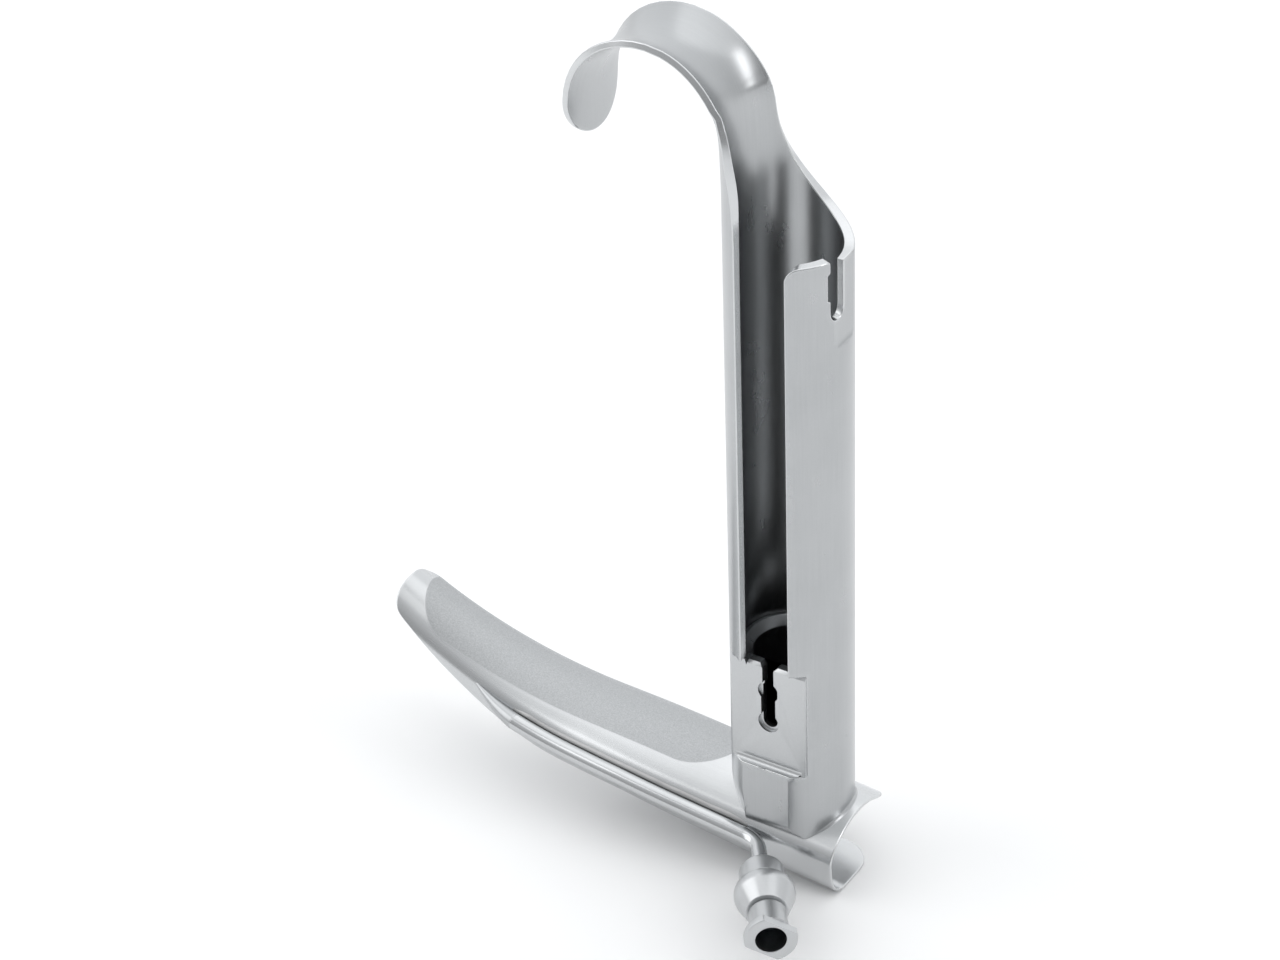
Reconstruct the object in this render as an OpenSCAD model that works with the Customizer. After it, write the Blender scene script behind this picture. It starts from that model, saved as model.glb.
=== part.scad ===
// Rigid operating laryngoscope: tubular handle with a finger hook, a socket in its foot,
// a C-shaped blade under the foot, and an insufflation tube with a Luer-lock connector.
// Origin: centre of the socket bore at its mouth. +Z up the handle, -X towards the blade tip,
// -Y towards the open window of the handle (the user's left).

/* [Handle tube] */
// Outer radius of the handle tube
tube_r = 8.6; // [7:0.1:10]
// Wall thickness of the handle tube
tube_wall = 1.5; // [1:0.1:1.8]
// Height of the tube's panel beside the window, above the socket mouth
panel_top = 66.1; // [55:0.1:75]
// Half width of the long window in the handle
window_half = 3.7; // [3:0.1:4.5]
// Distance from the socket mouth down to the foot's lower end
foot_drop = 25.4; // [22:0.1:28]

/* [Light slot] */
// Width of the slot in the rear wall
slot_w = 3.1; // [2:0.1:4]
// Sideways offset of the slot from the middle of the rear wall
slot_y = -1.5; // [-2:0.1:0]
// Depth of the slot below the panel's top edge
slot_depth = 9.5; // [5:0.1:14]
// Depth of the flat milled round the slot
flat_depth = 0.4; // [0.2:0.1:0.6]

/* [Finger hook] */
// Radius of the first quarter of the hook's bend, on the underside of the strip
hook_near_r = 9.4; // [8:0.1:12]
// Radius of the second quarter of the hook's bend
hook_far_r = 10.2; // [8:0.1:12]
// Half width of the hook's strip
hook_half = 6.3; // [5:0.1:7]
// Thickness of the hook's strip
hook_wall = 1; // [0.8:0.1:1.5]
// Length of the straight tongue after the bend
tongue_len = 5.7; // [5:0.1:10]

/* [Socket and lock plate] */
// Radius of the socket bore
bore_r = 5.35; // [4.5:0.05:5.6]
// Depth of the socket bore
bore_depth = 21; // [15:0.5:22]
// Height of the chamfer at the bore's mouth
mouth_chamfer = 1.1; // [0.5:0.1:1.5]
// Half width of the flat lock plate
plate_half = 5.8; // [5:0.1:6]
// Distance from the handle's axis to the plate's outer face
plate_face = 6.7; // [6.5:0.05:6.9]
// Height of the lock plate
plate_h = 16.7; // [14:0.1:18]
// Width of the keyhole slot in the plate
key_w = 2; // [1.5:0.1:3]
// Radius of the round detents along the keyhole slot
detent_r = 1.55; // [1.2:0.05:2]

/* [Blade] */
// Thickness of the blade's sheet
sheet = 0.9; // [0.8:0.1:1.4]
// Distance that the blade reaches behind the handle's axis
heel_x = 10; // [9:0.1:12]
// Length of the blade's straight stretch
straight_len = 42; // [38:0.1:60]
// Radius of the upward curve at the blade's distal end
curve_r = 76; // [60:1:120]
// Angle through which the distal end curves up
curve_deg = 26; // [15:0.5:30]
// Upward slope of the straight stretch, towards the tip
rise_deg = 5; // [0:0.5:8]
// Lean of the heel's cut face, its lower edge further back
heel_lean_deg = 8; // [0:1:12]

/* [Insufflation tube] */
// Outer radius of the tube
pipe_r = 1.2; // [0.9:0.05:1.4]
// Bore radius of the tube
pipe_bore_r = 0.8; // [0.5:0.05:0.85]
// Distance along the blade, from its heel, where the pipe's bend leaves the wall
pipe_start = 12.7; // [11:0.1:20]
// Distance along the blade, from its heel, where the pipe ends
pipe_end = 51.5; // [40:0.5:54]

/* [Luer connector] */
// Direction of the connector, as an angle from -Y towards +X
luer_deg = 35.5; // [0:0.5:60]
// Radius of the socket mouth in the connector
luer_mouth_r = 2.15; // [2.1:0.01:2.2]
// Radius over the connector's lugs
lug_r = 3.7; // [3.6:0.05:3.95]

/* [Hidden] */
steel = [0.74, 0.76, 0.78];
bright = [0.84, 0.86, 0.88];
dark = [0.42, 0.45, 0.47];
fine = 96;
big = 60;
eps = 0.01;
inner_r = tube_r - tube_wall;
floor_z = mouth_chamfer;
plate_bottom = floor_z - plate_h;

// The plan of the upper end: a round sweep from the rear wall up to the finger hook
hook_z = panel_top + 14.7;
sweep_r = 17;
sweep_at = [11.5, hook_z + 0.8];
rim_x = -4.6;

/* Turtle path: segs is a list of [length, radius], radius 0 for a straight run.
   A point is [along, across, heading]; a positive radius turns towards +across. */
function step_arc(p, l, r) = r == 0
    ? [p[0] + l * cos(p[2]), p[1] + l * sin(p[2]), p[2]]
    : let (h = p[2] + l / r * 180 / PI)
      [p[0] + r * (sin(h) - sin(p[2])), p[1] - r * (cos(h) - cos(p[2])), h];
function walk(segs, l, p = [0, 0, 0], i = 0) =
    l <= segs[i][0] || i == len(segs) - 1
    ? step_arc(p, l, segs[i][1])
    : walk(segs, l - segs[i][0], step_arc(p, segs[i][0], segs[i][1]), i + 1);
function total(segs, i = 0) = i == len(segs) ? 0 : segs[i][0] + total(segs, i + 1);
function mix(a, b, t) = a + (b - a) * t;
function clamp01(t) = max(0, min(1, t));
function smooth(t) = let (c = clamp01(t)) c * c * (3 - 2 * c);

// Solid skinned over rings with the same number of points each; a loop has no end faces.
// An end face is a ladder of triangles between the ring's first and second halves.
module skin(rings, loop = false) {
    n = len(rings[0]);
    m = len(rings);
    sides = [for (i = [0:(loop ? m - 1 : m - 2)], j = [0:n - 1])
        let (k = (j + 1) % n, a = i * n, b = ((i + 1) % m) * n)
        each [[a + j, a + k, b + k], [a + j, b + k, b + j]]];
    ends = [for (end = [0, (m - 1) * n], j = [0:ceil(n / 2) - 2])
        let (p = end + j, q = end + n - 1 - j, flip = end == 0)
        each [flip ? [q, p + 1, p] : [p, p + 1, q],
            if (p + 1 < q - 1) flip ? [q, q - 1, p + 1] : [p + 1, q - 1, q]]];
    polyhedron([for (r = rings) each r], loop ? sides : concat(sides, ends), convexity = 6);
}

/* ---- Blade: a bent sheet carried along a rising path ---- */
crest_y = 1;
heel_z = -foot_drop + 0.55;
spine = [[straight_len, 0], [curve_r * curve_deg * PI / 180, curve_r]];
spine_len = total(spine);
deck_r = 13;
shoulder_r = 3.2;
corner_r = 3.8;
near_deck = 7.6;
near_turn = near_deck / deck_r * 180 / PI;
near_side = [[near_deck, deck_r], [shoulder_r * (90 - near_turn) * PI / 180, shoulder_r],
    [1.8, 0], [corner_r * PI / 2, corner_r], [8.2, 0]];
far_side = [[5.3, 11], [1.5, -2.6]];
near_full = total(near_side);
far_full = total(far_side);
wall_len = near_side[0][0] + near_side[1][0] + near_side[2][0];
taper_from = 24;
tip_round = 3.4;

// Width of the section, as a share of its width at the heel
function narrow(s) = s < taper_from ? 1
    : 1 - 0.36 * smooth((s - taper_from) / (spine_len - taper_from) * 0.85);
// Depth of the section, as a share of its depth at the heel
function shallow(s) = 1 - 0.12 * clamp01((s - 8) / 26);
// How far the sheet reaches on the wall side: the lower plate ends first, then the wall sweeps up
function near_reach(s) = let (floor_end = straight_len - 9, wall_end = straight_len + 7)
    s < floor_end ? near_full
    : s < wall_end ? mix(near_full, wall_len + 2, (s - floor_end) / (wall_end - floor_end))
    : mix(wall_len + 2, near_deck + 0.4, (s - wall_end) / (spine_len - wall_end));
function tip_share(s) = let (d = max(0, s - (spine_len - tip_round)) / tip_round)
    pow(max(0.03, 1 - pow(d, 2.6)), 1 / 2.6);

// Point of the sheet: s along the spine, l across it (positive towards the wall), d outwards
function sheet_pt(s, l, d) = let (
    a = l >= 0 ? walk(near_side, l) : walk(far_side, -l),
    side = l >= 0 ? -1 : 1,
    y = crest_y + (side * a[0]) * narrow(s) + side * d * sin(a[2]),
    up = -a[1] * shallow(s) + d * cos(a[2]),
    p = walk(spine, s),
    h = rise_deg + p[2],
    lean = tan(heel_lean_deg) * (1 - clamp01(s / 12)))
    [heel_x - (p[0] * cos(rise_deg) - p[1] * sin(rise_deg)) + up * sin(h) - up * lean,
     y,
     heel_z + p[0] * sin(rise_deg) + p[1] * cos(rise_deg) + up * cos(h)];

across = 26;
along = 44;
// Stations crowd together near the tip
function station(i) = let (t = i / along)
    t < 0.72 ? mix(0, spine_len - tip_round, t / 0.72)
    : mix(spine_len - tip_round, spine_len, sin((t - 0.72) / 0.28 * 90));
function blade_ring(s) = let (hi = near_reach(s) * tip_share(s), lo = -far_full * tip_share(s))
    concat(
        [for (j = [0:across]) sheet_pt(s, mix(lo, hi, j / across), 0)],
        [for (j = [across:-1:0]) sheet_pt(s, mix(lo, hi, j / across), -sheet)]);

module blade() {
    color(bright) skin([for (i = [0:along]) blade_ring(station(i))]);
}

// Everything on the underside of the blade's deck near the foot, to fit the foot to it
module below_deck(lift = 0) {
    top = [for (j = [0:across]) let (l = mix(-far_full, near_full, j / across),
        a = l >= 0 ? walk(near_side, l) : walk(far_side, -l)) if (l < wall_len)
        [crest_y + (l >= 0 ? -1 : 1) * a[0], -a[1]]];
    last = len(top) - 1;
    translate([heel_x, 0, heel_z + lift]) rotate([0, rise_deg, 0]) translate([-taper_from, 0, 0])
        rotate([90, 0, 90]) linear_extrude(height = 2 * taper_from)
            polygon(concat([[big, top[0][1]]], top, [[-big, top[last][1]], [-big, -big],
                [big, -big]]));
}

/* ---- Handle ---- */
module window_cut() {
    // long window, and the open front above the panel
    translate([-window_half, -big, floor_z]) cube([2 * window_half, big, big * 2]);
    // rounded upper corner of the panel
    corner = 2;
    translate([window_half, 0, panel_top - corner]) rotate([90, 0, 0])
        linear_extrude(height = big) polygon(concat([[-1, -0.5], [-1, 3], [corner, 3]],
            [for (a = [90:10:180]) [corner + corner * cos(a), corner * sin(a)]], [[0, -0.5]]));
}
module upper_cut() {
    // free edge of the far wall: a round sweep up to the hook
    translate([0, big, 0]) rotate([90, 0, 0]) linear_extrude(height = big - slot_y) union() {
        translate(sweep_at) circle(r = sweep_r, $fn = fine);
        translate([sweep_at[0] - sweep_r, sweep_at[1]]) square([big, big]);
        translate([sweep_at[0], sweep_at[1] - sweep_r]) square([big, big]);
    }
    // level top of the panel
    translate([0, -big, panel_top]) cube([big, big + slot_y + eps, big]);
    // near rim, leaning in towards the hook
    rotate([90, 0, 0]) linear_extrude(height = big)
        polygon([[1 - window_half, hook_z - 30], [rim_x, hook_z + 1], [big, hook_z + 1],
            [big, panel_top], [0, panel_top], [0, hook_z - 30]]);
}
module light_slot() {
    bottom = panel_top - slot_depth;
    translate([tube_r - 3, slot_y, bottom + slot_w / 2]) {
        rotate([0, 90, 0]) cylinder(h = 5, r = slot_w / 2, $fn = 48);
        translate([0, -slot_w / 2, 0]) cube([5, slot_w, big]);
    }
    // little step at the slot's mouth
    translate([tube_r - 3, slot_y - slot_w / 2 - 0.4, bottom + 3]) cube([5, 1, slot_depth - 5]);
}
module rear_flat() {
    run_r = 9;
    translate([tube_r - flat_depth, 0, panel_top - 15]) {
        translate([0, -5, run_r / 3]) cube([5, 10, big]);
        intersection() {
            translate([0, -5, 0]) cube([5, 10, run_r]);
            translate([0, 0, run_r]) rotate([0, 90, 0]) cylinder(h = 5, r = run_r, $fn = fine);
        }
    }
}
foot_face = 7.8;
module handle_tube() {
    color(steel) difference() {
        translate([0, 0, -foot_drop]) cylinder(h = hook_z + foot_drop, r = tube_r, $fn = fine);
        translate([0, 0, -foot_drop - 1]) cylinder(h = big * 3, r = inner_r, $fn = fine);
        window_cut();
        upper_cut();
        light_slot();
        rear_flat();
        // seat of the lock plate, and the flat of the foot below it
        translate([-plate_half, -big, plate_bottom]) cube([2 * plate_half, big - 3, plate_h + 1]);
        translate([-big / 2, -foot_face - big, -big]) cube([big, big, big + plate_bottom]);
        // groove between the plate and the foot's flat
        translate([0, -foot_face - 0.35, plate_bottom]) rotate([0, 90, 0])
            cylinder(h = 2 * plate_half + 4, r = 0.9, center = true, $fn = 32);
        below_deck();
    }
}
module bore_cut() {
    translate([0, 0, -bore_depth]) cylinder(h = bore_depth + floor_z + 1, r = bore_r, $fn = fine);
    cylinder(h = mouth_chamfer + eps, r1 = bore_r, r2 = bore_r + mouth_chamfer, $fn = fine);
}
module socket_insert() {
    color(dark) difference() {
        translate([0, 0, -foot_drop]) cylinder(h = foot_drop + floor_z, r = inner_r, $fn = fine);
        bore_cut();
        translate([-big / 2, -big - plate_face + 1.5, plate_bottom]) cube([big, big, plate_h + 1]);
        below_deck();
    }
}
module lock_plate() {
    upper = -3.2;
    lower = -8.7;
    color(steel) difference() {
        translate([-plate_half, -plate_face, plate_bottom]) cube([2 * plate_half, 1.5, plate_h]);
        bore_cut();
        // keyhole slot, open at the top
        translate([-key_w / 2, -plate_face - 1, lower]) cube([key_w, 4, plate_h]);
        for (z = [upper, lower]) translate([0, -plate_face - 1, z]) rotate([-90, 0, 0]) {
            cylinder(h = 4, r = key_w / 2 + 0.15, $fn = 32);
            cylinder(h = 1.6, r = detent_r, $fn = 48);
        }
        // bevelled upper edge
        translate([0, -plate_face, floor_z]) rotate([45, 0, 0]) cube([20, 1, 1], center = true);
    }
}
module foot_weld() {
    leg = 0.9;
    color(steel) difference() {
        union() {
            // low stepped fillet on the deck, ahead of and behind the tube
            for (step = [1, 2]) intersection() {
                translate([0, 0, -foot_drop - 4])
                    cylinder(h = 8, r = tube_r + leg * (1.5 - step / 2), $fn = fine);
                below_deck(leg * step / 2.5);
                translate([-big, -5, -big]) cube([2 * big, 10, 2 * big]);
            }
            // bead that closes the gap between the foot's flat and the blade's shoulder
            intersection() {
                translate([0, 0, -foot_drop - 3]) cylinder(h = 3, r = tube_r, $fn = fine);
                translate([0, -foot_face, -foot_drop]) rotate([45, 0, 0])
                    translate([-big / 2, 0, -big / 2]) cube([big, big, big]);
                translate([-big / 2, -big, -big]) cube([big, big - 3, big]);
            }
        }
        below_deck();
        translate([0, 0, -foot_drop]) cylinder(h = foot_drop, r = tube_r, $fn = fine);
    }
}

/* ---- Finger hook: the tube's wall bent over towards the blade's side ---- */
hook_path = [[hook_near_r * PI / 2, hook_near_r], [hook_far_r * PI / 2, hook_far_r], [tongue_len, 0]];
hook_len = total(hook_path);
hook_steps = 44;
hook_across = 14;
// Rise of the strip's rims above its middle, from the tube's own curve to the flat tongue
function dish(s) = mix(1.9, 0.7, sqrt(clamp01(s / hook_len)));
function hook_width(s) = let (d = max(0, s - (hook_len - hook_half)) / hook_half)
    hook_half * sqrt(max(0.015, 1 - d * d));
function hook_pt(s, v, d) = let (
    p = walk(hook_path, s),
    w = hook_width(s),
    rise = dish(s) * pow(v * w / hook_half, 2) + d,
    h = p[2])
    // the path starts upwards and turns towards -X; the dish opens away from the bend's centre
    [-tube_r - p[1] + rise * cos(h), v * w, hook_z + p[0] + rise * sin(h)];
function hook_station(i) = let (t = i / hook_steps)
    t < 0.7 ? mix(0, hook_len - hook_half, t / 0.7)
    : mix(hook_len - hook_half, hook_len, sin((t - 0.7) / 0.3 * 90));
module finger_hook() {
    color(steel) skin([for (i = [0:hook_steps]) let (s = hook_station(i)) concat(
        [for (j = [0:hook_across]) hook_pt(s, 1 - 2 * j / hook_across, hook_wall)],
        [for (j = [hook_across:-1:0]) hook_pt(s, 1 - 2 * j / hook_across, 0)])]);
}

/* ---- Insufflation tube ---- */
pipe_sides = 12;
pipe_l = near_deck + near_side[1][0] - 0.4;
// Along the wall: the pipe's centre rides just off the sheet's outer face
function pipe_ride(s) = sheet_pt(s, pipe_l, pipe_r + 0.02);
luer_dir = [sin(luer_deg), -cos(luer_deg), 0];
bend_r = 4.2;
wall_dir = let (v = pipe_ride(pipe_start) - pipe_ride(pipe_start + 4)) v / norm(v);
bend_deg = acos(wall_dir * luer_dir);
bend_side = let (v = luer_dir - wall_dir * (wall_dir * luer_dir)) v / norm(v);
bend_from = pipe_ride(pipe_start);
function bend_pt(a) = bend_from + wall_dir * bend_r * sin(a) + bend_side * bend_r * (1 - cos(a));
function bend_dir(a) = wall_dir * cos(a) + bend_side * sin(a);
bend_to = bend_pt(bend_deg);
stem = 4;
collar_at = bend_to + luer_dir * stem;
pipe_route = concat(
    [for (s = [pipe_end:-2.5:pipe_start]) pipe_ride(s)],
    [for (i = [0:8]) bend_pt(bend_deg * i / 8)],
    [collar_at + luer_dir * 1.5]);
function pipe_tangent(i) = let (n = len(pipe_route) - 1,
    v = pipe_route[min(n, i + 1)] - pipe_route[max(0, i - 1)]) v / norm(v);
function ring_at(c, t, r) = let (a = cross(t, [0, 0, 1]), u = a / norm(a), w = cross(u, t))
    [for (k = [0:pipe_sides - 1]) let (q = k * 360 / pipe_sides)
        c + r * (u * cos(q) + w * sin(q))];
module insufflation_tube() {
    last = len(pipe_route) - 1;
    color(bright) skin(loop = true, rings = concat(
        [for (i = [0:last]) ring_at(pipe_route[i], pipe_tangent(i), pipe_r)],
        [for (i = [last:-1:0]) ring_at(pipe_route[i], pipe_tangent(i), pipe_bore_r)]));
}
module tube_braze() {
    // a thin bead that fills the crevice above and below the pipe
    color(dark) skin([for (i = [0:16]) let (s = mix(pipe_start + 1, pipe_end - 1, i / 16),
        q = 0.75 * pipe_r) [sheet_pt(s, pipe_l - q, 0.02), sheet_pt(s, pipe_l - q, 0.3),
        sheet_pt(s, pipe_l - 0.35 * pipe_r, 0.02)]]);
}
module tube_tip() {
    // pointed ramp that closes the distal end of the pipe against the blade's wall
    len_tip = 4.5;
    color(bright) skin([for (i = [0:8]) let (t = i / 8, s = pipe_end + t * len_tip,
        r = pipe_r * (1 - 0.86 * t), c = sheet_pt(s, pipe_l - 0.6 * t, r + 0.02),
        v = sheet_pt(s + 1, pipe_l, 0) - sheet_pt(s, pipe_l, 0)) ring_at(c, v / norm(v), r)]);
}

/* ---- Luer connector: turned pieces on one axis ---- */
module on_luer_axis() {
    translate(collar_at) rotate([0, 0, luer_deg]) rotate([90, 0, 0]) children();
}
collar_len = 3.9;
barrel_len = 5.4;
hub_len = 5.9;
module luer_collar() {
    color(steel) on_luer_axis() rotate_extrude($fn = fine)
        polygon([[pipe_r + 0.02, 0], [2.7, 0], [3.2, 0.5], [3.2, collar_len],
            [pipe_r + 0.02, collar_len]]);
}
module luer_barrel() {
    color(bright) on_luer_axis() translate([0, 0, collar_len]) rotate_extrude($fn = fine)
        polygon([[pipe_r + 0.02, 0], [3.4, 0], [4.1, 0.45], [4.3, 1], [4.3, 2.2], [3, barrel_len],
            [pipe_r + 0.02, barrel_len]]);
}
module luer_hub() {
    color(steel) on_luer_axis() translate([0, 0, collar_len + barrel_len]) difference() {
        union() {
            cylinder(h = hub_len, r = 2.7, $fn = fine);
            translate([0, 0, hub_len - 1.2]) intersection() {
                cylinder(h = 1.2, r = lug_r, $fn = fine);
                rotate([0, 0, -31]) cube([2 * lug_r, 5.2, 4], center = true);
            }
        }
        translate([0, 0, -eps])
            cylinder(h = hub_len + 2 * eps, r1 = luer_mouth_r - 0.2, r2 = luer_mouth_r, $fn = fine);
    }
}

handle_tube();
finger_hook();
socket_insert();
lock_plate();
blade();
foot_weld();
insufflation_tube();
tube_braze();
tube_tip();
luer_collar();
luer_barrel();
luer_hub();
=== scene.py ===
from math import sin, cos, tan, pi, sqrt, radians, asin, acos

import bmesh
import bpy
import numpy as np
from mathutils import Vector, Matrix
from mathutils.geometry import delaunay_2d_cdt


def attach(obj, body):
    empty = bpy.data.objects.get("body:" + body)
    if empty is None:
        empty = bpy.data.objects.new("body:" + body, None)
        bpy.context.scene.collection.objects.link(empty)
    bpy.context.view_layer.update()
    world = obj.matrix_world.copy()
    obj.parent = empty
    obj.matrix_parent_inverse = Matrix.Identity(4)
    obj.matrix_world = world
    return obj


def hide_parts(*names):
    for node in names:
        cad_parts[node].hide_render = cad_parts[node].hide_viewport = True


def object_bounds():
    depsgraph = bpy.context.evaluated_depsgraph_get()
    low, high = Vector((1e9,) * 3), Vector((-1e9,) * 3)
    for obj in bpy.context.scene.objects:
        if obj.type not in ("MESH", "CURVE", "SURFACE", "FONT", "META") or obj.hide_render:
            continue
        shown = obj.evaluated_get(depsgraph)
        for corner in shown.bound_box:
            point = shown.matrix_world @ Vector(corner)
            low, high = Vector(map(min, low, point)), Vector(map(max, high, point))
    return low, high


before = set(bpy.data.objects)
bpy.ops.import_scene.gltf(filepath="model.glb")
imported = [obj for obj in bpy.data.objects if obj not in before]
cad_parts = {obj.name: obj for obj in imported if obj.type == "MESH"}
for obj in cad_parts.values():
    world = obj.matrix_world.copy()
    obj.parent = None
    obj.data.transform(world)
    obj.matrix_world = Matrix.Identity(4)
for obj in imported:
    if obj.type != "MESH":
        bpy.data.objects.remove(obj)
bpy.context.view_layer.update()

MM = 0.001


# ---------------------------------------------------------------- helpers
def mix(a, b, t):
    return a + (b - a) * t


def clamp01(t):
    return max(0.0, min(1.0, t))


def smooth(t):
    t = clamp01(t)
    return t * t * (3 - 2 * t)


def step_arc(p, l, r):
    """One turtle step of length l on an arc of radius r; 0 is straight."""
    if r == 0:
        return (p[0] + l * cos(p[2]), p[1] + l * sin(p[2]), p[2])
    h = p[2] + l / r
    return (p[0] + r * (sin(h) - sin(p[2])), p[1] - r * (cos(h) - cos(p[2])), h)


def walk(segs, l):
    p = (0.0, 0.0, 0.0)
    for i, (length, r) in enumerate(segs):
        if l <= length or i == len(segs) - 1:
            return step_arc(p, l, r)
        p = step_arc(p, length, r)
        l -= length


def fillet(points, step):
    """Closed outline from (u, v, radius) corners: rounds each corner and cuts long sides into steps."""
    out = []
    n = len(points)
    for i in range(n):
        a, b, c = (Vector(points[j % n][:2]) for j in (i - 1, i, i + 1))
        r = points[i][2]
        d0, d1 = (a - b), (c - b)
        l0, l1 = d0.length, d1.length
        d0.normalize()
        d1.normalize()
        ang = d0.angle(d1) if l0 > 0 and l1 > 0 else pi
        if r > 0 and ang < pi - 0.02:
            t = min(r / tan(ang / 2), l0 * 0.49, l1 * 0.49)
            r = t * tan(ang / 2)
            mid = (d0 + d1).normalized()
            centre = b + mid * (r / sin(ang / 2))
            p0, p1 = b + d0 * t, b + d1 * t
            k = max(2, int((pi - ang) / 0.28))
            v0, v1 = p0 - centre, p1 - centre
            turn = v0.angle_signed(v1)
            for j in range(k + 1):
                q = v0.copy()
                q.rotate(Matrix.Rotation(-turn * j / k, 2))
                out.append(centre + q)
        else:
            out.append(b)
    dense = []
    for i, p in enumerate(out):
        q = out[(i + 1) % len(out)]
        gap = (q - p).length
        if gap < 1e-4:
            continue
        k = max(1, int(gap / step))
        dense += [p + (q - p) * (j / k) for j in range(k)]
    return dense


def inside(poly, p):
    """Even-odd test, poly as an (n, 2) array."""
    x, y = p
    a, b = poly, np.roll(poly, -1, axis=0)
    hit = (a[:, 1] > y) != (b[:, 1] > y)
    with np.errstate(divide="ignore", invalid="ignore"):
        cross = (b[:, 0] - a[:, 0]) * (y - a[:, 1]) / (b[:, 1] - a[:, 1]) + a[:, 0]
    return bool(np.count_nonzero(hit & (x < cross)) % 2)


def away(poly, p):
    """Distance from p to the closed outline."""
    a, b = poly, np.roll(poly, -1, axis=0)
    d = b - a
    t = np.clip(((p - a) * d).sum(1) / np.maximum((d * d).sum(1), 1e-12), 0, 1)
    return float(np.sqrt(((a + d * t[:, None] - p) ** 2).sum(1)).min())


def make_object(name, verts, faces, normals=None, uvs=None, edge=None, inner_shade=None):
    """Smooth mesh object in metres from millimetre vertices, with UVs in centimetres.

    Its materials read two point attributes: edge (1 on a polished edge; on the plate's cove its values paint a
    highlight) and dull (1 on an inner face, a painted shade that darkens it)."""
    mesh = bpy.data.meshes.new(name)
    mesh.from_pydata([[c * MM for c in v] for v in verts], [], faces)
    mesh.polygons.foreach_set("use_smooth", [True] * len(mesh.polygons))
    if uvs is not None:
        layer = mesh.uv_layers.new(name="UVMap")
        for loop in mesh.loops:
            layer.data[loop.index].uv = uvs[loop.vertex_index]
    for key, values in (("edge", edge), ("inner_shade", inner_shade)):
        att = mesh.attributes.new(key, "FLOAT", "POINT")
        att.data.foreach_set("value", values if values is not None else [0.0] * len(verts))
    mesh.update()
    if normals is not None:
        mesh.normals_split_custom_set_from_vertices(normals)
    obj = bpy.data.objects.new(name, mesh)
    bpy.context.scene.collection.objects.link(obj)
    return obj


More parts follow.
